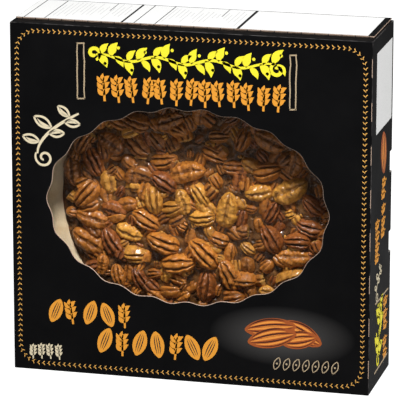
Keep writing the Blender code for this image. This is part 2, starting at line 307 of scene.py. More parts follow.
def make_carton():
    """The folded shell, with its three finishes given out face by face."""
    carton = block("carton_shell", low, (high.x, high.y, top), black_print, cut_edge, bare_inside)
    folds = carton.modifiers.new("folds", "BEVEL")
    folds.width = FOLD
    folds.segments = 4
    settle(carton)
    inner = BOARD
    cut(carton, block("inside", (low.x + inner, low.y + inner, inner),
                      (high.x - inner, high.y - inner, top - inner)))
    cut(carton, window_die())
    for middle in (0.1274, 0.0785):
        cut(carton, block("notch", (high.x - 0.004, high.y - 0.006, middle - 0.0064),
                          (high.x + BOARD, high.y + BOARD, middle + 0.0064)))
    skin = 0.00002
    for face in carton.data.polygons:
        centre, normal = face.center, face.normal
        outside = (
            min(centre.x - low.x, high.x - centre.x, centre.y - low.y, high.y - centre.y,
                centre.z, top - centre.z)
            < FOLD * 0.5
        )
        from_front = centre.y - low.y
        in_window = math.hypot(
            (centre.x - window_middle[0]) / (window_half[0] + 0.002),
            (centre.z - window_middle[1]) / (window_half[1] + 0.002),
        ) < 1.01
        flat = max(abs(normal.x), abs(normal.y), abs(normal.z)) > 0.999
        inside = (
            low.x + inner - skin < centre.x < high.x - inner + skin
            and low.y + inner - skin < centre.y < high.y - inner + skin
            and inner - skin < centre.z < top - inner + skin
        )
        if in_window and from_front < BOARD and not (flat and abs(normal.y) > 0.999):
            face.material_index = 1
        elif inside:
            face.material_index = 2
        elif not outside:
            face.material_index = 1
        else:
            face.material_index = 0
    return carton


carton = make_carton()
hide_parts("carton")
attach(carton, "root")


# ---------------------------------------------------------------------------------------------
# Outer top flap. The back panel's flap, folded forward over the top and glued down. Its front
# edge is cut with a nicked blade and lies a little behind the fold, so raw board shows there.
# ---------------------------------------------------------------------------------------------
FLAP_FRONT = low.y + 0.009
FLAP_RIGHT = high.x - 0.0012
FLAP_LEFT = low.x + 0.0012


def make_flap():
    """Two layers of board: the flap on top and the tab under it, set back a hair."""
    upper = block("top_flap", (FLAP_LEFT, FLAP_FRONT, top + BOARD), (FLAP_RIGHT, high.y, high.z),
                  black_print, cut_edge)
    edges = upper.modifiers.new("crushed", "BEVEL")
    edges.width = 0.00015
    edges.segments = 2
    settle(upper)
    under = block("under_tab", (FLAP_LEFT + 0.001, FLAP_FRONT + 0.0005, top),
                  (FLAP_RIGHT - 0.0006, high.y - 0.0002,
                  top + BOARD * 1.05))
    cut(upper, under, "UNION")
    for face in upper.data.polygons:
        front = face.normal.y < -0.6 or abs(face.normal.x) > 0.6
        face.material_index = 1 if front else 0
    return upper


flap = make_flap()
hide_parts("carton")
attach(flap, "root")


# ---------------------------------------------------------------------------------------------
# Window film. A sheet of clear film glued behind the front panel: thin, glossy, barely seen.
# ---------------------------------------------------------------------------------------------
film_material, _, film_shader = new_material("clear_film", (0.02, 0.02, 0.02), 0.06)
film_shader.inputs["Alpha"].default_value = 0.03
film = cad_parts["window_film"]
film.data.materials.clear()
film.data.materials.append(film_material)


# ---------------------------------------------------------------------------------------------
# Print shapes. Garlands, ears of grain, nuts, a sprig and bars, all drawn as pen strokes of
# varying width and made into thin inked solids; filled panels are strokes with two points.
# ---------------------------------------------------------------------------------------------
INK = 0.00003
pen = np.random.default_rng(3)


def line(points, width, taper=0.0):
    """A pen stroke through points in millimetres, thinner at both ends by taper."""
    points = np.asarray(points, float)
    share = np.linspace(0, 1, len(points))
    return points, width * (1 - taper * np.abs(2 * share - 1) ** 3)


def leaf(base, angle, length, width, steps=9):
    """A filled leaf or grain from its base point."""
    share = np.linspace(0, 1, steps)
    turn = math.radians(angle)
    bow = 0.12 * length * np.sin(np.pi * share)
    x = base[0] + share * length * math.cos(turn) - bow * math.sin(turn)
    y = base[1] + share * length * math.sin(turn) + bow * math.cos(turn)
    return np.stack([x, y], 1), width * np.maximum(np.sin(np.pi * share**0.85), 0.06)


def dot(middle, radius):
    """A round spot."""
    share = np.linspace(-1, 1, 9)
    points = np.stack([middle[0] + radius * share, np.full(9, middle[1])], 1)
    return points, 2 * radius * np.sqrt(np.maximum(1 - share**2, 0.01))


def field(left, bottom, right, upper):
    """A filled rectangle."""
    middle = (bottom + upper) / 2
    return np.array([[left, middle], [right, middle]]), np.full(2, upper - bottom)


def curl(middle, radius, start, turns, width):
    """A spiral that winds inwards."""
    turn = np.linspace(0, turns * 2 * np.pi, 28)
    reach = radius * (1 - 0.78 * turn / turn[-1])
    angle = math.radians(start) + turn
    points = [middle[0] + reach * np.cos(angle), middle[1] + reach * np.sin(angle)]
    return line(np.stack(points, 1), width, 0.3)


def oval(middle, angle, length, width, pen_width):
    """A pointed outline, as of a leaf or a nut, drawn with two strokes."""
    share = np.linspace(0, 1, 13)
    turn = math.radians(angle)
    drawn = []
    for side in (-1, 1):
        u = (share - 0.5) * length
        v = side * width / 2 * np.sin(np.pi * share) ** 0.8
        x = middle[0] + u * math.cos(turn) - v * math.sin(turn)
        y = middle[1] + u * math.sin(turn) + v * math.cos(turn)
        drawn.append(line(np.stack([x, y], 1), pen_width, 0.2))
    return drawn


def vine(left, right, level, tall, width):
    """A rolling stem with leaves above and below it, berries between, and a curl at each end."""
    x = np.linspace(left + tall * 0.3, right - tall * 0.3, 60)
    y = level + tall * 0.10 * np.sin((x - left) * 2 * np.pi / (tall * 1.9))
    drawn = [line(np.stack([x, y], 1), width * 0.8, 0.4)]
    count = int((right - left) / (tall * 0.46))
    for number in range(count):
        at = left + tall * 0.35 + number * (right - left - tall * 0.7) / (count - 1)
        rise = level + tall * 0.10 * math.sin((at - left) * 2 * math.pi / (tall * 1.9))
        side = 1 if number % 2 else -1
        lean = side * pen.uniform(52, 72)
        drawn.append(leaf((at, rise), lean, tall * pen.uniform(0.52, 0.62), tall * 0.29))
        drawn.append(leaf((at + tall * 0.12, rise), -side * pen.uniform(40, 60), tall * 0.46, tall * 0.22))
        drawn.append(dot((at + tall * 0.26, rise + side * tall * 0.30), tall * 0.055))
    drawn.append(curl((left + tall * 0.22, level + tall * 0.12), tall * 0.24, -70, 1.1, width))
    drawn.append(curl((right - tall * 0.22, level - tall * 0.10), tall * 0.24, 110, 1.1, width))
    return drawn


def ears(left, right, base, tall, count, width):
    """Upright ears of grain side by side, each leaning a little its own way."""
    drawn = []
    for number in range(count):
        at = left + (number + 0.5) * (right - left) / count
        lean = pen.uniform(-9, 9)
        high_up = tall * pen.uniform(0.86, 1.0)
        turn = math.radians(90 + lean)
        foot = (at, base + pen.uniform(-0.04, 0.04) * tall)
        tip = (foot[0] + high_up * 0.7 * math.cos(turn), foot[1] + high_up * 0.7 * math.sin(turn))
        drawn.append(line([foot, tip], width, 0.2))
        for level in (0.22, 0.44, 0.66):
            at_stem = (foot[0] + high_up * level * math.cos(turn), foot[1] + high_up * level * math.sin(turn))
            for side in (-1, 1):
                drawn.append(leaf(at_stem, 90 + lean + side * 42, tall * 0.33, tall * 0.165))
        drawn.append(leaf(tip, 90 + lean, tall * 0.30, tall * 0.15))
    return drawn


def nut_row(left, right, base, tall, count):
    """Plump nuts in a row at changing tilts with an ear of grain here and there: bodies, then furrows."""
    bodies, furrows = [], []
    share = np.linspace(0, 1, 19)
    for number in range(count):
        at = left + (number + 0.5) * (right - left) / count
        middle = (at, base + tall / 2 + pen.uniform(-0.04, 0.04) * tall)
        if number % 3 == 1:
            bodies += ears(at - 3, at + 3, middle[1] - tall / 2, tall, 1, 1.5)
            continue
        turn = math.radians(90 + (18 if number % 2 else -22) + pen.uniform(-9, 9))
        long, wide = tall * 0.96, tall * 0.50
        for offset, width in ((0, 1.0), (-0.17, 0.075), (0.17, 0.075), (0.0, 0.06)):
            reach = share if offset == 0 and width == 1.0 else 0.14 + 0.72 * share
            u, v = (reach - 0.5) * long, offset * wide * np.sin(np.pi * reach) ** 0.5
            path = np.stack([middle[0] + u * math.cos(turn) - v * math.sin(turn),
                             middle[1] + u * math.sin(turn) + v * math.cos(turn)], 1)
            profile = width * wide * np.maximum(np.sin(np.pi * share), 0.03) ** 0.6
            (bodies if width == 1.0 else furrows).append((path, profile))
    return bodies, furrows


def drawn_bar(x, bottom, upper, width, pen_width):
    """A tall narrow box drawn by hand with four strokes."""
    steps = np.linspace(bottom, upper, 7)
    sides = []
    for edge in (x - width / 2, x + width / 2):
        sides.append(line(np.stack([edge + pen.uniform(-0.35, 0.35, 7), steps], 1), pen_width, 0.2))
    for level in (bottom, upper):
        sides.append(line([(x - width / 2 - 0.3, level), (x + width / 2 + 0.3, level + 0.3)], pen_width))
    return sides


def sprig(x, y, size):
    """A bending stem with open leaves on both sides and a curled foot."""
    share = np.linspace(0, 1, 16)
    stem_x = x + size * (0.10 + 0.85 * share**1.5)
    stem_y = y + size * (0.10 + 0.85 * share**0.8)
    drawn = [line(np.stack([stem_x, stem_y], 1), size * 0.060, 0.4)]
    for at, angle, long in ((3, 165, 0.34), (6, 5, 0.30), (8, 150, 0.40), (11, -5, 0.30), (13, 140, 0.30)):
        turn = math.radians(angle)
        middle = (stem_x[at] + long * size * 0.62 * math.cos(turn),
                  stem_y[at] + long * size * 0.62 * math.sin(turn))
        drawn += oval(middle, angle, long * size, long * size * 0.46, size * 0.046)
        drawn.append(leaf((middle[0] - long * size * 0.4 * math.cos(turn), middle[1] - long * size * 0.4 *
                           math.sin(turn)), angle, long * size * 0.72, size * 0.06))
    drawn.append(curl((x + size * 0.24, y + size * 0.02), size * 0.19, 150, 1.3, size * 0.05))
    return drawn


def printed(name, strokes, origin, across, up, material, layer=1):
    """The strokes as thin inked solids on a panel, given the panel's origin and directions."""
    origin, across, up = Vector(origin), Vector(across), Vector(up)
    out = across.cross(up)
    points, faces, start = [], [], 0
    for path, width in strokes:
        along = np.gradient(path, axis=0)
        along /= np.maximum(np.linalg.norm(along, axis=1), 1e-9)[:, None]
        side = np.stack([-along[:, 1], along[:, 0]], 1) * width[:, None] / 2
        outline = np.concatenate([path + side, (path - side)[::-1]]) * 0.001
        count = len(path)
        for height in (INK * 0.3, INK * (1 + layer)):
            for u, v in outline:
                points.append(origin + across * u + up * v + out * height)
        total = 2 * count
        for one in range(total):
            two = (one + 1) % total
            faces.append([start + two, start + one, start + total + one, start + total + two])
        for one in range(count - 1):
            low_quad = [one, one + 1, total - 2 - one, total - 1 - one]
            faces.append([start + corner for corner in low_quad])
            faces.append([start + total + corner for corner in reversed(low_quad)])
        start += 2 * total
    piece = mesh_object(name, np.array(points), faces, material, smooth=False)
    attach(piece, "root")
    return piece


def make_ink(name, colour):
    """A flat ink, very slightly uneven where the board's pores show."""
    material, tree, shader = new_material(name, colour, 0.5)
    shader.inputs["Specular IOR Level"].default_value = 0.25
    texture = fibre(tree)
    shade = ramp(tree, texture.outputs["Height"], [(0.25, [c * 0.86 for c in colour]), (0.5, colour)])
    tree.links.new(shade, shader.inputs["Base Color"])
    bump(tree, shader, texture.outputs["Height"], 0.1, 0.0001)
    return material


# ---------------------------------------------------------------------------------------------
# Front print. Yellow and orange garlands above the window, nuts and grain below it, a sprig at
# its left and nut pictures in three tones on the grey glow. Lengths on panels are millimetres.
# ---------------------------------------------------------------------------------------------
yellow = make_ink("ink_yellow", (0.90, 0.80, 0.035))
orange = make_ink("ink_orange", (0.80, 0.33, 0.035))
cream = make_ink("ink_cream", (0.74, 0.64, 0.44))
beige = make_ink("ink_beige", (0.46, 0.35, 0.22))
gold = make_ink("ink_gold", (0.72, 0.38, 0.09))
white = make_ink("ink_white", (0.80, 0.80, 0.79))
grey = make_ink("ink_grey", (0.50, 0.50, 0.50))
black = make_ink("ink_black", (0.02, 0.02, 0.022))

front = ((0, low.y, 0), (1, 0, 0), (0, 0, 1))
printed("front_yellow_garland", vine(-61, 56, 193.6, 17.5, 2.2), *front, yellow)
printed("front_orange_ears", ears(-55, 57, 167.5, 17, 13, 1.7), *front, orange)
upper_row, lower_row = nut_row(-87, -34, 30, 16, 5), nut_row(-57, 18, 13, 17, 7)
printed("front_orange_nuts", upper_row[0] + lower_row[0], *front, orange)
printed("front_orange_furrows", upper_row[1] + lower_row[1], *front, black, layer=1.3)
printed("front_cream_sprig", sprig(-95, 130.5, 30) + ears(-99, -77, 7, 10, 4, 1.0), *front, cream)
beige_row = [stroke for n in range(7) for stroke in oval((53 + 5.8 * n, 15.5), 70, 8.0, 3.6, 0.55)]
beige_row += [dot((53 + 5.8 * n, 15.5), 0.6) for n in range(7)]
printed("front_beige_bars",
        drawn_bar(-65, 168, 201, 4.2, 0.8) + drawn_bar(61.5, 169, 201, 3.6, 0.8) + beige_row, *front, beige)


def printed_nut(x, y, angle, long, wide):
    """A nut picture in three flat tones: body, furrows, lit ribs."""
    turn = math.radians(angle)
    share = np.linspace(0, 1, 25)

    def rib(offset, width, start=0.06, end=0.94):
        part = start + (end - start) * share
        v = offset * wide * np.sin(np.pi * part) ** 0.7
        u = (part - 0.5) * long
        path = np.stack([x + u * math.cos(turn) - v * math.sin(turn),
                         y + u * math.sin(turn) + v * math.cos(turn)], 1)
        return path, width * wide * np.maximum(np.sin(np.pi * share), 0.05) ** 0.6

    body = (rib(0, 1.0, 0.0, 1.0)[0], wide * np.maximum(np.sin(np.pi * share), 0.02) ** 0.55)
    furrows = [rib(-0.17, 0.07), rib(0.17, 0.07), rib(-0.42, 0.05, 0.2, 0.9), rib(0.44, 0.08, 0.1, 0.8)]
    ribs = [rib(0.0, 0.12), rib(0.29, 0.11, 0.12, 0.8), rib(-0.29, 0.10, 0.15, 0.85),
            rib(0.10, 0.03, 0.3, 0.7)]
    return body, furrows, ribs


nut_body = make_ink("ink_nut_body", (0.36, 0.085, 0.018))
nut_dark = make_ink("ink_nut_dark", (0.055, 0.012, 0.006))
nut_lit = make_ink("ink_nut_lit", (0.80, 0.29, 0.05))
pictures = [printed_nut(68, 35, -28, 26, 12), printed_nut(66, 31, 12, 22, 11), printed_nut(49, 37, 8, 31, 12),
            printed_nut(50, 31, 14, 30, 12)]
for number, (body, furrows, ribs) in enumerate(pictures):
    printed(f"front_nut_{number}_body", [body], *front, nut_body, layer=1 + number * 0.5)
    printed(f"front_nut_{number}_dark", furrows, *front, nut_dark, layer=1.2 + number * 0.5)
    printed(f"front_nut_{number}_lit", ribs, *front, nut_lit, layer=1.3 + number * 0.5)

# ---------------------------------------------------------------------------------------------
# Side print. The same on both sides: a white panel above, then a nut, grain, a sprig and a garland.
# ---------------------------------------------------------------------------------------------
for side, panel, turned_panel in (
    ("right", ((high.x, 0, 0), (0, 1, 0), (0, 0, 1)), ((high.x, 0, 0), (0, 0, 1), (0, -1, 0))),
    ("left", ((low.x, 0, 0), (0, -1, 0), (0, 0, 1)), ((low.x, 0, 0), (0, 0, 1), (0, 1, 0))),
):
    printed(f"{side}_white_panel", [field(-18, 154, 26, 202)], *panel, white)
    body, furrows, ribs = printed_nut(5, 138, 100, 26, 17)
    printed(f"{side}_nut_body", [body], *panel, nut_body)
    printed(f"{side}_nut_dark", furrows, *panel, nut_dark, layer=1.3)
    printed(f"{side}_nut_lit", ribs, *panel, nut_lit, layer=1.4)
    printed(f"{side}_orange_marks", ears(86, 124, -13, 14, 5, 1.2) + ears(75, 103, 4, 14, 4, 1.2)
            + ears(9, 50, -23, 14, 5, 1.2), *turned_panel, orange)
    printed(f"{side}_yellow_garland", vine(9, 50, 1, 22, 1.5), *turned_panel, yellow)
    printed(f"{side}_cream_sprig", sprig(-13, 54, 17), *panel, cream)
    printed(f"{side}_beige_bars", [line([(-14, 51), (24, 50)], 1.1), line([(-14, 8.5), (24, 9.5)], 1.1)],
            *panel, beige)

# ---------------------------------------------------------------------------------------------
# Top print. Three white fields with dark dividers, thin rules and faint grey rows.
# ---------------------------------------------------------------------------------------------
lid = ((0, 0, high.z), (1, 0, 0), (0, 1, 0))
printed("top_white_panels", [field(-106.5, -20.6, -43.6, 28.6), field(-42.2, -20.6, 25.6, 28.6),
                             field(27.4, -20.6, 103, 28.6)], *lid, white)
rules = [field(x - 0.3, -20.5, x + 0.3, 28.4) for x in (-102, -89.5, -35.5, -23)]
rules += [field(x - 0.25, 8, x + 0.25, 28) for x in (-58, 10)]
printed("top_rules", rules, *lid, black, layer=1.3)
faint = []
for start, stop in ((-87, -60), (-57, -46), (-21, 8), (12, 23)):
    for x in np.arange(start, stop, 2.6):
        faint.append(field(x, pen.uniform(-18, 4), x + 0.35, pen.uniform(14, 27)))
printed("top_faint_rows", faint, *lid, grey, layer=1.2)

# ---------------------------------------------------------------------------------------------
# Back print. A white panel with thin rules under a garland.
# ---------------------------------------------------------------------------------------------
back = ((0, high.y, 0), (-1, 0, 0), (0, 0, 1))
printed("back_white_panel", [field(-80, 60, 80, 150)], *back, white)
printed("back_rules", [field(-74, z, pen.uniform(30, 74), z + 0.7) for z in np.arange(66, 146, 5.0)],
        *back, grey, layer=1.3)
printed("back_garland", vine(-60, 60, 178, 17, 1.6), *back, yellow)


# ---------------------------------------------------------------------------------------------
# Laurel border, perforation and nicks. Each is one motif repeated along a path; the nicks are black blocks,
# painted shade in the narrow cuts.
# ---------------------------------------------------------------------------------------------
def make_repeat_tree():
    """Geometry Nodes: copies of a motif set along a path at an even spacing, turned to follow it."""
    tree = bpy.data.node_groups.new("repeat_along_path", "GeometryNodeTree")
    for label, kind in (("Path", "NodeSocketGeometry"), ("Motif", "NodeSocketObject"),
                        ("Spacing", "NodeSocketFloat"), ("Finish", "NodeSocketMaterial")):
        tree.interface.new_socket(label, in_out="INPUT", socket_type=kind)
    tree.interface.new_socket("Mesh", in_out="OUTPUT", socket_type="NodeSocketGeometry")
    entry, leave = tree.nodes.new("NodeGroupInput"), tree.nodes.new("NodeGroupOutput")
    path = add(tree, "GeometryNodeMeshToCurve", {"Mesh": entry.outputs["Path"]})
    even = add(tree, "GeometryNodeResampleCurve", {"Curve": path.outputs["Curve"],
                                                   "Length": entry.outputs["Spacing"]}, mode="LENGTH")
    motif = add(tree, "GeometryNodeObjectInfo", {"Object": entry.outputs["Motif"]})
    tangent = add(tree, "GeometryNodeInputTangent")
    split = add(tree, "ShaderNodeSeparateXYZ", {0: tangent.outputs["Tangent"]})
    angle = add(tree, "ShaderNodeMath", {0: split.outputs["Z"], 1: split.outputs["X"]}, operation="ARCTAN2")
    back_angle = add(tree, "ShaderNodeMath", {0: angle.outputs[0]}, operation="MULTIPLY")
    back_angle.inputs[1].default_value = -1
    turn = add(tree, "ShaderNodeCombineXYZ", {"Y": back_angle.outputs[0]})
    copies = add(tree, "GeometryNodeInstanceOnPoints", {"Points": even.outputs["Curve"],
                                                        "Instance": motif.outputs["Geometry"],
                                                        "Rotation": turn.outputs[0]})
    real = add(tree, "GeometryNodeRealizeInstances", {"Geometry": copies.outputs["Instances"]})
    coat = add(tree, "GeometryNodeSetMaterial", {"Geometry": real.outputs["Geometry"],
                                                 "Material": entry.outputs["Finish"]})
    tree.links.new(coat.outputs["Geometry"], leave.inputs["Mesh"])
    return tree


repeat_tree = make_repeat_tree()


def repeated(name, path, closed, motif, spacing, material):
    """The motif repeated along the path as one plain mesh piece."""
    mesh = bpy.data.meshes.new(name)
    count = len(path)
    edges = [(n, n + 1) for n in range(count - 1)] + ([(count - 1, 0)] if closed else [])
    mesh.from_pydata([tuple(point) for point in path], edges, [])
    piece = bpy.data.objects.new(name, mesh)
    bpy.context.scene.collection.objects.link(piece)
    run = piece.modifiers.new("repeat", "NODES")
    run.node_group = repeat_tree
    inputs = {item.name: item.identifier for item in repeat_tree.interface.items_tree
              if item.in_out == "INPUT"}
    run[inputs["Motif"]] = motif
    run[inputs["Spacing"]] = spacing
    run[inputs["Finish"]] = material
    settle(piece)
    bpy.data.objects.remove(motif)
    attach(piece, "root")
    return piece


def border_path(inset_x, inset_z, corner):
    """A rounded rectangle just inside the front panel's edges."""
    half_x, bottom, upper = high.x - inset_x, inset_z, top - inset_z
    path = []
    for x, z, start in ((half_x - corner, bottom + corner, -90), (half_x - corner, upper - corner, 0),
                        (corner - half_x, upper - corner, 90), (corner - half_x, bottom + corner, 180)):
        for step in range(9):
            turn = math.radians(start + step * 11.25)
            path.append((x + corner * math.cos(turn), low.y, z + corner * math.sin(turn)))
    return path


laurel = printed("laurel_motif", [leaf((-0.2, 0.1), 48, 1.7, 0.62), leaf((-0.2, -0.1), -48, 1.7, 0.62),
                                  line([(-0.9, 0), (0.1, 0)], 0.34)],
                 (0, 0, 0), (1, 0, 0), (0, 0, 1), gold)
repeated("front_laurel_border", border_path(0.0040, 0.0044, 0.012), True, laurel, 0.0032, gold)
slit = block("slit_motif", (-0.0055, -0.00012, -0.00016), (0.0055, 0.00005, 0.00016), cut_edge)
repeated("corner_perforation",
         [(high.x - 0.00035, low.y + 0.0001, 0.016), (high.x - 0.00035, low.y + 0.0001, 0.196)],
         False, slit, 0.0236, cut_edge)
# Small black blocks along the flap's front edge: painted shade where the blade's nicks cut it.
nick_shadow = block("nick_motif", (-0.00022, -0.0001, -0.00062), (0.00022, 0.0006, 0.00062), black)
repeated("flap_nicks",
         [(FLAP_LEFT + 0.004, FLAP_FRONT, high.z - 0.0006),
          (FLAP_RIGHT - 0.003, FLAP_FRONT, high.z - 0.0006)],
         False, nick_shadow, 0.0077, black)


# ---------------------------------------------------------------------------------------------
# Foil tin. One disc of bright foil, pressed into a dish: the spare foil gathers in flutes round
# the wall, and the rim is rolled under. It stands on its rim, its base against the back panel.
# ---------------------------------------------------------------------------------------------
tin_low, tin_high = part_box("pie_tin")
pie_back = tin_high.y
pie_middle = (tin_low.z + tin_high.z) / 2
FOIL = 0.00012
TIN_DEPTH = 0.0290


def upright(points):
    """Points of the lying pie, stood up against the back panel."""
    points = np.asarray(points, float)
    return np.stack([points[:, 0], pie_back - points[:, 2], pie_middle + points[:, 1]], 1)


def ring_faces(rings, around):
    """Quads between closed rings of points, ring after ring."""
    ring = np.arange(rings - 1)[:, None] * around
    one = np.arange(around)[None, :]
    two = (one + 1) % around
    quads = np.stack([ring + one, ring + two, ring + around + two, ring + around + one], -1)
    return quads.reshape(-1, 4)


def make_tin():
    """Rings from the middle of the base out to the rolled rim."""
    around = 576
    flutes = 72
    base, brim = 0.0780, 0.0970
    slope = (brim - base) / TIN_DEPTH
    rows = [(0.0004, 0.0006, 0), (0.030, 0.0006, 0), (0.034, 0.0011, 0), (0.038, 0.0011, 0),
            (0.042, 0.0006, 0),
            (base - 0.0060, 0.0006, 0), (base - 0.0030, 0.0002, 0.1), (base - 0.0008, 0.0006, 0.5)]
    for step in np.linspace(0.06, 0.94, 14):
        rows.append((base + slope * TIN_DEPTH * step, TIN_DEPTH * step, min(1, 4 * step, 5 * (1 - step))))
    rows += [(brim + 0.0008, TIN_DEPTH - 0.0004, 0.15), (brim + 0.0022, TIN_DEPTH, 0)]
    roll = 0.0011
    for step in range(9):
        turn = math.radians(90 - 35 * step)
        rows.append((0.1030 - roll + roll * math.cos(turn), TIN_DEPTH - roll + roll * math.sin(turn), 0))
    turn = np.linspace(0, 2 * np.pi, around, endpoint=False)
    wave = np.abs(np.sin(turn * flutes / 2)) ** 0.7 * 0.0009
    points = []
    for radius, height, fluting in rows:
        reach = radius - wave * fluting
        points.append(np.stack([reach * np.cos(turn), reach * np.sin(turn), np.full(around, height)], 1))
    faces = ring_faces(len(rows), around).tolist() + [list(range(around))[::-1]]
    tin = mesh_object("foil_tin", upright(np.concatenate(points)), faces)
    wall = tin.modifiers.new("foil", "SOLIDIFY")
    wall.thickness = FOIL
    wall.offset = -1
    settle(tin)
    return tin


def make_foil():
    """Bright rolled foil with faint handling marks."""
    material, tree, shader = new_material("bright_foil", (0.82, 0.83, 0.85), 0.24, 1.0)
    place = add(tree, "ShaderNodeTexCoord")
    marks = add(tree, "ShaderNodeTexNoise", {"Vector": place.outputs["Object"]}, Scale=260.0, Detail=5.0)
    tree.links.new(ramp(tree, marks.outputs["Fac"], [(0.3, (0.18,)), (0.7, (0.34,))]),
                   shader.inputs["Roughness"])
    bump(tree, shader, marks.outputs["Fac"], 0.25, 0.0004)
    return material


tin = make_tin()
tin.data.materials.append(make_foil())
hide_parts("pie_tin")
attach(tin, "root")


# ---------------------------------------------------------------------------------------------
# Pastry case. Shortcrust pressed into the tin by a die and trimmed flush at the rim: pale and smooth on top,
# with faint pressing marks down the inside.
# ---------------------------------------------------------------------------------------------
FILLING_RADIUS = 0.0850
filling_level = pie_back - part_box("filling")[0].y
crust_top = pie_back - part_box("crust")[0].y


def waves(rng, count, low_pitch, high_pitch):
    """A smooth random relief over the pie: a sum of plane waves, about -1 to 1."""
    headings = rng.uniform(0, 2 * np.pi, count)
    pitches = rng.uniform(low_pitch, high_pitch, count)
    phases = rng.uniform(0, 2 * np.pi, count)

    def relief(x, y):
        total = np.zeros_like(x)
        for heading, pitch, phase in zip(headings, pitches, phases):
            total += np.sin(2 * np.pi * (x * np.cos(heading) + y * np.sin(heading)) / pitch + phase)
        return total / math.sqrt(count)

    return relief


def make_crust():
    """A turned section whose rim wanders and dips a little, as hand-filled pastry does."""
    around = 480
    base, brim, inner = 0.0780, 0.0970, FILLING_RADIUS
    section = [
        (0.0005, filling_level - 0.0270), (0.070, filling_level - 0.0270), (0.0735, filling_level - 0.0255),
        (inner - 0.0020, filling_level - 0.0040), (inner - 0.0010, filling_level - 0.0015),
        (inner - 0.0004, filling_level - 0.0002), (inner + 0.0004, crust_top - 0.0016),
        (inner + 0.0018, crust_top - 0.0008), (inner + 0.0040, crust_top - 0.0002),
        (inner + 0.0065, crust_top),
        (inner + 0.0090, crust_top - 0.0002), (inner + 0.0112, crust_top - 0.0007),
        (inner + 0.0126, crust_top - 0.0018), (inner + 0.0130, crust_top - 0.0030),
        (inner + 0.0126, TIN_DEPTH + 0.0006), (brim - 0.0014, TIN_DEPTH + 0.0005),
        (brim - 0.0030, TIN_DEPTH - 0.0014),
        (base + 0.0006, 0.0030), (base - 0.0060, 0.0013), (0.0005, 0.0013),
    ]
    rng = np.random.default_rng(5)
    relief = waves(rng, 9, 0.012, 0.05)
    fine = waves(rng, 12, 0.0025, 0.006)
    turn = np.linspace(0, 2 * np.pi, around, endpoint=False)
    points = []
    for number, (radius, height) in enumerate(section):
        x, y = radius * np.cos(turn), radius * np.sin(turn)
        free = 1.0 if 4 <= number <= 13 else 0.0
        reach = radius + free * 0.0004 * relief(x, y)
        lift = height + free * (0.00035 * relief(y, x) + 0.00008 * fine(x, y)) - 0.0003 * free
        points.append(np.stack([reach * np.cos(turn), reach * np.sin(turn), lift], 1))
    count = len(section)
    faces = ring_faces(count, around)[:, ::-1].tolist()
    faces += [list(range(around)), list(range((count - 1) * around, count * around))[::-1]]
    return mesh_object("pastry_case", upright(np.concatenate(points)), faces)


def make_pastry():
    """Baked shortcrust: cream, toasted in patches, with a crumbly surface."""
    material, tree, shader = new_material("pale_pastry", (0.66, 0.50, 0.28), 0.72)
    place = add(tree, "ShaderNodeTexCoord")
    patch = add(tree, "ShaderNodeTexNoise", {"Vector": place.outputs["Object"]}, Scale=70.0, Detail=6.0)
    crumb = add(tree, "ShaderNodeTexNoise", {"Vector": place.outputs["Object"]}, Scale=900.0, Detail=4.0)
    toasted = ramp(tree, patch.outputs["Fac"], [(0.3, (0.82, 0.68, 0.46)), (0.55, (0.76, 0.60, 0.38)),
                                                (0.8, (0.58, 0.38, 0.18))])
    tree.links.new(toasted, shader.inputs["Base Color"])
    bump(tree, shader, crumb.outputs["Fac"], 0.35, 0.0004)
    shader.inputs["Subsurface Weight"].default_value = 0.08
    shader.inputs["Subsurface Radius"].default_value = (0.002, 0.001, 0.0005)
    return material


crust = make_crust()
crust.data.materials.append(make_pastry())
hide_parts("crust")
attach(crust, "root")


# ---------------------------------------------------------------------------------------------
# Pecan halves. Whole halves and broken pieces laid on the filling before baking, so they are
# glazed, tilted and partly sunk. The ridged side shows two grooves beside a narrow ridge, the
# cleft side two wrinkled lobes along one seam. Smaller pieces fill the gaps lower down.
# ---------------------------------------------------------------------------------------------
NUT_WIDTH = 0.60
NUT_HEIGHT = 0.36


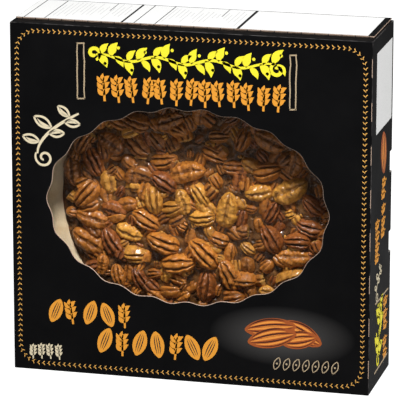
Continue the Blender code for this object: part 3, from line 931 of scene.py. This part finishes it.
def nut_surface(rng, length, kind, rows, across):
    """Points, quads and per-point colour guides (groove, flesh) of one half, lying along X."""
    under = 8
    step = np.linspace(0, 1, across)
    t_top = 0.5 * (np.cos(np.pi * step) + 1 - 2 * step)
    t_low = -np.cos(np.pi * np.arange(1, under + 1) / (under + 1))
    s = -np.cos(np.pi * (np.arange(rows) + 0.5) / rows)
    s = 0.35 * np.linspace(-1, 1, rows) * 0.999 + 0.65 * s
    s, t = np.meshgrid(s, np.concatenate([t_top, t_low]), indexing="ij")
    on_top = np.arange(across + under)[None, :] < across
    broken_at = rng.uniform(0.05, 0.4) if kind == "broken" else 2
    body = np.minimum(s, broken_at)
    past = np.clip((s - broken_at) / max(1 - broken_at, 1e-6), 0, 1)
    half = length / 2
    pointed = rng.uniform(0.04, 0.2)
    width = half * NUT_WIDTH * (1 - np.abs(body) ** 2.5) ** 0.55 * (1 - pointed * body)
    height = 2 * half * NUT_HEIGHT * (1 - np.abs(body) ** 3) ** 0.5 * rng.uniform(0.85, 1.1)
    blunt = np.sqrt(1 - past**2)
    width, height = width * blunt, height * blunt
    wander = rng.uniform(0.02, 0.05) * np.sin(rng.uniform(2, 4) * body + rng.uniform(0, 6))
    fade = 1 - np.abs(body) ** 4
    ribs = rng.uniform(5, 7.5)
    lean = rng.uniform(0.6, 1.6)
    phase = rng.uniform(0, 6)
    wrinkle = np.sin(ribs * np.pi * body + lean * 4 * np.abs(t) + phase + 0.7 * np.sin(5 * t + phase))
    wrinkle += 0.6 * np.sin(ribs * 1.7 * np.pi * body - 3 * t + 2 * phase)
    if kind == "cleft":
        dome = (1 - np.abs(t) ** 2.8) ** 0.55 * 0.82
        seam = np.exp(-(((t - wander) / 0.15) ** 2))
        rib = np.exp(-(((t - wander) / 0.045) ** 2))
        groove = seam * (1 - 0.75 * rib)
        relief = dome - fade * (0.26 * seam - 0.16 * rib) + 0.035 * wrinkle * fade
    else:
        side = 0.33 + wander
        groove = np.exp(-(((np.abs(t) - side) / 0.095) ** 2)) * fade
        dome = (1 - np.abs(t) ** 2.3) ** 0.6
        lobe = np.exp(-(((np.abs(t) - 0.66) / 0.22) ** 2))
        relief = dome - 0.40 * groove + 0.08 * lobe * fade + 0.03 * wrinkle * lobe * fade
    z_top = height * relief
    z_low = -height * 0.32 * (1 - t**2) ** 0.5
    z = np.where(on_top, z_top, z_low)
    arch = rng.uniform(0.02, 0.09) * (1 if kind != "cleft" else -0.6)
    x = half * (body + 0.10 * past + 0.03 * past * np.sin(9 * t + phase))
    z = z - arch * length * body**2
    bend = rng.uniform(-0.07, 0.07) * length
    y = t * width + bend * (body**2 - 0.4)
    points = np.stack([x, y, z], -1).reshape(-1, 3)
    lumps = waves(rng, 7, length * 0.16, length * 0.45)
    points[:, 2] += 0.016 * length * lumps(points[:, 0], points[:, 1])
    points[:, 1] += 0.012 * length * lumps(points[:, 0] + 0.1, points[:, 2] * 2)
    faces = ring_faces(rows, across + under).tolist()
    ring = across + under
    faces += [list(range(ring))[::-1], list(range((rows - 1) * ring, rows * ring))]
    groove = np.where(on_top, groove, 0.2)
    flesh = np.clip(past * 1.6 - 0.3, 0, 1)
    return points, faces, groove.reshape(-1), flesh.reshape(-1)


def laid(points, place, heading, roll, pitch):
    """The nut's points turned, tilted and set in place on the lying pie."""
    turn = Matrix.Rotation(heading, 3, "Z") @ Matrix.Rotation(pitch, 3, "Y") @ Matrix.Rotation(roll, 3, "X")
    return points @ np.array(turn).T + np.array(place)


def cad_nuts():
    """Each CAD nut's place, heading, length, kind and tone, read from its solid."""
    found = []
    for name in sorted(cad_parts):
        if not name.startswith("pecan_"):
            continue
        _, _, kind, tone = name.split("_")
        corners = np.array([vertex.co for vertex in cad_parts[name].data.vertices])
        flat = np.stack([corners[:, 0], corners[:, 2] - pie_middle], 1)
        flat = np.unique(np.round(flat, 6), axis=0)
        middle = (flat.max(0) + flat.min(0)) / 2
        _, _, axes = np.linalg.svd(flat - flat.mean(0))
        along = (flat - flat.mean(0)) @ axes[0]
        found.append((name, middle, math.atan2(axes[0][1], axes[0][0]), np.ptp(along), kind, tone))
    return found


def gather(name, nuts, material):
    """One object from many nuts, with the colour guides as attributes."""
    points, faces, guides, start = [], [], [], 0
    for nut_points, nut_faces, groove, flesh, tint in nuts:
        points.append(nut_points)
        faces += [[corner + start for corner in face] for face in nut_faces]
        guides.append(np.stack([groove, flesh, np.full(len(groove), tint), np.ones(len(groove))], 1))
        start += len(nut_points)
    made = mesh_object(name, upright(np.concatenate(points)), faces, material)
    guide = made.data.color_attributes.new("guide", "FLOAT_COLOR", "POINT")
    guide.data.foreach_set("color", np.concatenate(guides).ravel())
    return made


def make_pits_group():
    """Bubbles burst in hot syrup: a mask of round pits in patches, and the height they leave."""
    group, entry, leave = new_group(
        "syrup_pits",
        [("Spacing", "NodeSocketFloat", 0.002), ("Cover", "NodeSocketFloat", 0.5)],
        [("Pit", "NodeSocketFloat"), ("Height", "NodeSocketFloat")],
    )
    place = add(group, "ShaderNodeTexCoord")
    density = add(group, "ShaderNodeMath", {1: entry.outputs["Spacing"]}, operation="DIVIDE")
    density.inputs[0].default_value = 1.0
    cells = add(group, "ShaderNodeTexVoronoi",
                {"Vector": place.outputs["Object"], "Scale": density.outputs[0]},
                Randomness=1.0)
    patch = add(group, "ShaderNodeTexNoise", {"Vector": place.outputs["Object"]}, Scale=95.0, Detail=3.0)
    hole = add(group, "ShaderNodeMapRange", {"Value": cells.outputs["Distance"]})
    hole.inputs["From Min"].default_value = 0.14
    hole.inputs["From Max"].default_value = 0.30
    hole.inputs["To Min"].default_value = 1.0
    hole.inputs["To Max"].default_value = 0.0
    here = add(group, "ShaderNodeMath", {0: patch.outputs["Fac"], 1: entry.outputs["Cover"]},
               operation="LESS_THAN")
    pit = add(group, "ShaderNodeMath", {0: hole.outputs["Result"], 1: here.outputs[0]}, operation="MULTIPLY")
    height = add(group, "ShaderNodeMath", {1: pit.outputs[0]}, operation="SUBTRACT")
    height.inputs[0].default_value = 1.0
    group.links.new(pit.outputs[0], leave.inputs["Pit"])
    group.links.new(height.outputs[0], leave.inputs["Height"])
    return group


pits_group = make_pits_group()


def make_nut_material(name, pale, deep):
    """Glazed nut skin: pale on the lobes, deep in the grooves, mottled, pitted with painted shade in the
    pits, and varnished with syrup.
    """
    material, tree, shader = new_material(name, pale, 0.38)
    place = add(tree, "ShaderNodeTexCoord")
    guide = add(tree, "ShaderNodeAttribute", attribute_name="guide")
    parts = add(tree, "ShaderNodeSeparateColor", {"Color": guide.outputs["Color"]})
    mottle = add(tree, "ShaderNodeTexNoise", {"Vector": place.outputs["Object"]}, Scale=420.0, Detail=6.0,
                 Roughness=0.65)
    skin = ramp(tree, mottle.outputs["Fac"], [(0.30, deep), (0.52, pale), (0.78, [c * 1.35 for c in pale])])
    tint = add(tree, "ShaderNodeMix", data_type="RGBA", blend_type="MULTIPLY")
    tint.inputs["Factor"].default_value = 1.0
    tree.links.new(skin, tint.inputs["A"])
    tree.links.new(ramp(tree, parts.outputs["Blue"], [(0.0, (0.55, 0.45, 0.40)), (0.5, (1, 1, 1)),
                                                      (1.0, (1.45, 1.5, 1.4))]), tint.inputs["B"])
    dark = add(tree, "ShaderNodeMix", {"Factor": parts.outputs["Red"]}, data_type="RGBA")
    tree.links.new(tint.outputs["Result"], dark.inputs["A"])
    dark.inputs["B"].default_value = (*[c * 0.42 for c in deep], 1)
    flesh = add(tree, "ShaderNodeMix", {"Factor": parts.outputs["Green"]}, data_type="RGBA")
    tree.links.new(dark.outputs["Result"], flesh.inputs["A"])
    flesh.inputs["B"].default_value = (0.56, 0.30, 0.075, 1)
    pits = tree.nodes.new("ShaderNodeGroup")
    pits.node_tree = pits_group
    pits.inputs["Spacing"].default_value = 0.0019
    pits.inputs["Cover"].default_value = 0.44
    # The pits are only a bump, so they are painted dark: painted shade in the holes.
    pit_shade = add(tree, "ShaderNodeMix", data_type="RGBA")
    pit_shade_weight = add(tree, "ShaderNodeMath", {0: pits.outputs["Pit"]}, operation="MULTIPLY")
    pit_shade_weight.inputs[1].default_value = 0.75
    tree.links.new(pit_shade_weight.outputs[0], pit_shade.inputs["Factor"])
    tree.links.new(flesh.outputs["Result"], pit_shade.inputs["A"])
    pit_shade.inputs["B"].default_value = (*[c * 0.25 for c in deep], 1)
    tree.links.new(pit_shade.outputs["Result"], shader.inputs["Base Color"])
    shader.inputs["Specular IOR Level"].default_value = 0.25
    shader.inputs["Coat Weight"].default_value = 0.45
    shader.inputs["Coat Roughness"].default_value = 0.12
    shader.inputs["Subsurface Weight"].default_value = 0.06
    shader.inputs["Subsurface Radius"].default_value = (0.003, 0.0012, 0.0005)
    rough = add(tree, "ShaderNodeTexNoise", {"Vector": place.outputs["Object"]}, Scale=1100.0, Detail=3.0)
    both = add(tree, "ShaderNodeMath", {0: rough.outputs["Fac"], 1: pits.outputs["Height"]}, operation="ADD")
    bump(tree, shader, both.outputs[0], 0.55, 0.00045)
    return material


NUT_TONES = {
    "amber": ((0.46, 0.165, 0.026), (0.20, 0.060, 0.010)),
    "gold": ((0.60, 0.275, 0.044), (0.30, 0.105, 0.016)),
    "brown": ((0.32, 0.115, 0.021), (0.13, 0.040, 0.009)),
    "red": ((0.27, 0.082, 0.017), (0.10, 0.027, 0.007)),
}
nut_materials = {tone: make_nut_material(f"nut_{tone}", *pair) for tone, pair in NUT_TONES.items()}
nut_rng = np.random.default_rng(11)
nuts_by_tone = {tone: [] for tone in NUT_TONES}
nodes_by_tone = {tone: [] for tone in NUT_TONES}
lying = []
for name, middle, heading, length, kind, tone in cad_nuts():
    points, faces, groove, flesh = nut_surface(nut_rng, length * 1.08, kind, 44, 30)
    if nut_rng.random() < 0.5 and kind != "broken":
        heading += math.pi
    sink = nut_rng.uniform(0.0, 0.0014)
    place = (middle[0], middle[1], filling_level + 0.0018 - sink)
    roll, pitch = nut_rng.normal(0, 0.16), nut_rng.normal(0, 0.11)
    nuts_by_tone[tone].append((laid(points, place, heading, roll, pitch), faces, groove, flesh,
                               nut_rng.uniform(0.3, 0.75)))
    nodes_by_tone[tone].append(name)
    lying.append((middle[0], middle[1], heading, length * 0.54, length * 0.54 * NUT_WIDTH))

for tone, material in nut_materials.items():
    nuts = gather(f"nuts_{tone}", nuts_by_tone[tone], material)
    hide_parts(*nodes_by_tone[tone])
    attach(nuts, "root")


def oval_distance(x, y, nut):
    """How far a point is from a nut's middle, 1 on its outline."""
    px, py, heading, half, breadth = nut
    u = (x - px) * math.cos(heading) + (y - py) * math.sin(heading)
    v = -(x - px) * math.sin(heading) + (y - py) * math.cos(heading)
    return np.hypot(u / half, v / breadth)


def make_gap_nuts():
    """Pieces wedged between the big ones, tried at random and kept where there is room."""
    tones = list(NUT_TONES)
    kept = {tone: [] for tone in tones}
    placed = []
    for _ in range(6000):
        reach = 0.0815 * math.sqrt(nut_rng.random())
        bearing = nut_rng.uniform(0, 2 * math.pi)
        x, y = reach * math.cos(bearing), reach * math.sin(bearing)
        length = nut_rng.uniform(0.009, 0.018)
        heading = nut_rng.uniform(0, 2 * math.pi)
        room = min(float(oval_distance(x, y, nut)) for nut in lying)
        apart = min((math.hypot(x - px, y - py) for px, py, _ in placed), default=1)
        if room < 0.80 or apart < 0.0070 or reach + length * 0.4 > 0.0845:
            continue
        kind = nut_rng.choice(["broken", "ridged", "cleft"], p=[0.45, 0.3, 0.25])
        tone = nut_rng.choice(tones, p=[0.4, 0.2, 0.25, 0.15])
        points, faces, groove, flesh = nut_surface(nut_rng, length, kind, 28, 20)
        lift = filling_level + nut_rng.uniform(-0.0004, 0.0012)
        turned = laid(points, (x, y, lift), heading, nut_rng.normal(0, 0.35), nut_rng.normal(0, 0.25))
        kept[tone].append((turned, faces, groove, flesh, nut_rng.uniform(0.2, 0.7)))
        placed.append((x, y, length))
    for tone, nuts in kept.items():
        piece = gather(f"gap_nuts_{tone}", nuts, nut_materials[tone])
        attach(piece, "root")
    return placed


gap_nuts = make_gap_nuts()


# ---------------------------------------------------------------------------------------------
# Filling. Brown-sugar custard that rose round the nuts and set: it climbs each nut's side,
# sinks in between, and its glazed skin is full of burst bubbles.
# ---------------------------------------------------------------------------------------------
def make_filling():
    """A fine relief on rings, closed below by a plain core."""
    rings, around = 150, 600
    rng = np.random.default_rng(23)
    radius = np.linspace(0.0003, FILLING_RADIUS - 0.0001, rings)
    turn = np.linspace(0, 2 * np.pi, around, endpoint=False)
    radius, turn = np.meshgrid(radius, turn, indexing="ij")
    x, y = radius * np.cos(turn), radius * np.sin(turn)
    height = np.full_like(x, filling_level + 0.0010) - 0.0009 * (radius / FILLING_RADIUS) ** 6
    broad, fine = waves(rng, 10, 0.010, 0.030), waves(rng, 14, 0.0022, 0.006)
    height += 0.00045 * broad(x, y) + 0.00014 * fine(x, y)
    for nut in lying:
        near = oval_distance(x, y, nut)
        rim = np.exp(-(((np.maximum(near, 1) - 1) * nut[4] / 0.0016) ** 2))
        height += 0.0011 * rim * (near > 0.55)
    for px, py, length in gap_nuts:
        near = np.hypot(x - px, y - py) / (length * 0.38)
        height += 0.0006 * np.exp(-((near - 1) ** 2) / 0.15)
    for _ in range(520):
        reach, bearing = 0.084 * math.sqrt(rng.random()), rng.uniform(0, 2 * math.pi)
        size = rng.uniform(0.0004, 0.0012)
        px, py = reach * math.cos(bearing), reach * math.sin(bearing)
        near = np.hypot(x - px, y - py) / size
        height -= size * 0.95 * np.exp(-(near**4)) - size * 0.25 * np.exp(-((near - 1.25) ** 2) / 0.05)
    points = [np.stack([x, y, height], -1).reshape(-1, 3)]
    core = [(FILLING_RADIUS - 0.0020, filling_level - 0.0040), (0.0731, filling_level - 0.0253),
            (0.0697, filling_level - 0.0267), (0.0005, filling_level - 0.0267)]
    for reach, level in core:
        points.append(np.stack([reach * np.cos(turn[0]), reach * np.sin(turn[0]), np.full(around, level)], 1))
    count = rings + len(core)
    faces = ring_faces(count, around).tolist()
    faces += [list(range(around))[::-1], list(range((count - 1) * around, count * around))]
    return mesh_object("filling_set", upright(np.concatenate(points)), faces)


def make_syrup():
    """Dark brown-sugar custard, a little translucent, under a wet glaze, with painted shade in its bubble
    pits.
    """
    material, tree, shader = new_material("set_syrup", (0.16, 0.09, 0.045), 0.28)
    place = add(tree, "ShaderNodeTexCoord")
    cloud = add(tree, "ShaderNodeTexNoise", {"Vector": place.outputs["Object"]}, Scale=190.0, Detail=6.0,
                Roughness=0.6)
    shade = ramp(tree, cloud.outputs["Fac"], [(0.28, (0.030, 0.012, 0.004)), (0.5, (0.11, 0.045, 0.013)),
                                              (0.68, (0.22, 0.095, 0.024)), (0.85, (0.38, 0.21, 0.065))])
    pits = tree.nodes.new("ShaderNodeGroup")
    pits.node_tree = pits_group
    pits.inputs["Spacing"].default_value = 0.0016
    pits.inputs["Cover"].default_value = 0.52
    # The pits are only a bump, so they are painted near black: painted shade in the holes.
    pit_shade = add(tree, "ShaderNodeMix", {"Factor": pits.outputs["Pit"]}, data_type="RGBA")
    tree.links.new(shade, pit_shade.inputs["A"])
    pit_shade.inputs["B"].default_value = (0.022, 0.010, 0.004, 1)
    tree.links.new(pit_shade.outputs["Result"], shader.inputs["Base Color"])
    shader.inputs["Specular IOR Level"].default_value = 0.2
    shader.inputs["Coat Weight"].default_value = 0.35
    shader.inputs["Coat Roughness"].default_value = 0.08
    shader.inputs["Subsurface Weight"].default_value = 0.12
    shader.inputs["Subsurface Radius"].default_value = (0.003, 0.0015, 0.0006)
    fine = add(tree, "ShaderNodeTexNoise", {"Vector": place.outputs["Object"]}, Scale=800.0, Detail=4.0)
    both = add(tree, "ShaderNodeMath", {0: fine.outputs["Fac"], 1: pits.outputs["Height"]}, operation="ADD")
    bump(tree, shader, both.outputs[0], 0.6, 0.0006)
    return material


syrup = make_syrup()
filling = make_filling()
filling.data.materials.append(syrup)
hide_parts("filling")
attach(filling, "root")


# ---------------------------------------------------------------------------------------------
# Room: a floor, a soft key lamp high in front, a side lamp for the right panel, white surroundings.
# ---------------------------------------------------------------------------------------------
def make_floor():
    """A wide floor: plain white to the camera, mid grey to the light it bounces."""
    floor = mesh_object("floor", [(-6, -6, -0.0002), (6, -6, -0.0002), (6, 6, -0.0002), (-6, 6, -0.0002)],
                        [[0, 1, 2, 3]], smooth=False)
    material, tree, shader = new_material("pale_floor", (0.3, 0.3, 0.3), 0.9)
    path = add(tree, "ShaderNodeLightPath")
    seen = add(tree, "ShaderNodeMath", {0: path.outputs["Is Camera Ray"]}, operation="MULTIPLY")
    seen.inputs[1].default_value = 1.0
    shader.inputs["Emission Color"].default_value = (1, 1, 1, 1)
    tree.links.new(seen.outputs[0], shader.inputs["Emission Strength"])
    floor.data.materials.append(material)


def make_lamp(name, elevation, bearing, distance, size, watts):
    """A square soft lamp aimed at the carton's middle; bearing is measured to the right of the front."""
    lamp = bpy.data.lights.new(name, "AREA")
    lamp.size = size
    lamp.energy = watts
    made = bpy.data.objects.new(name, lamp)
    up, side = math.radians(elevation), math.radians(bearing)
    to_lamp = Vector((math.sin(side) * math.cos(up), -math.cos(side) * math.cos(up), math.sin(up)))
    made.location = Vector((0, 0, 0.1)) + to_lamp * distance
    made.rotation_euler = to_lamp.to_track_quat("Z", "Y").to_euler()
    bpy.context.scene.collection.objects.link(made)


make_floor()
make_lamp("key", 56, 12, 1.5, 0.24, 30)
make_lamp("side", 14, 80, 1.8, 0.9, 19)

world = bpy.data.worlds.new("white_room")
world.use_nodes = True
bpy.context.scene.world = world
tree = world.node_tree
sky = tree.nodes["Background"]
path = add(tree, "ShaderNodeLightPath")
level = add(tree, "ShaderNodeMapRange", {"Value": path.outputs["Is Camera Ray"]})
level.inputs["To Min"].default_value = 0.12
level.inputs["To Max"].default_value = 1.0
sky.inputs["Color"].default_value = (1, 1, 1, 1)
tree.links.new(level.outputs["Result"], sky.inputs["Strength"])
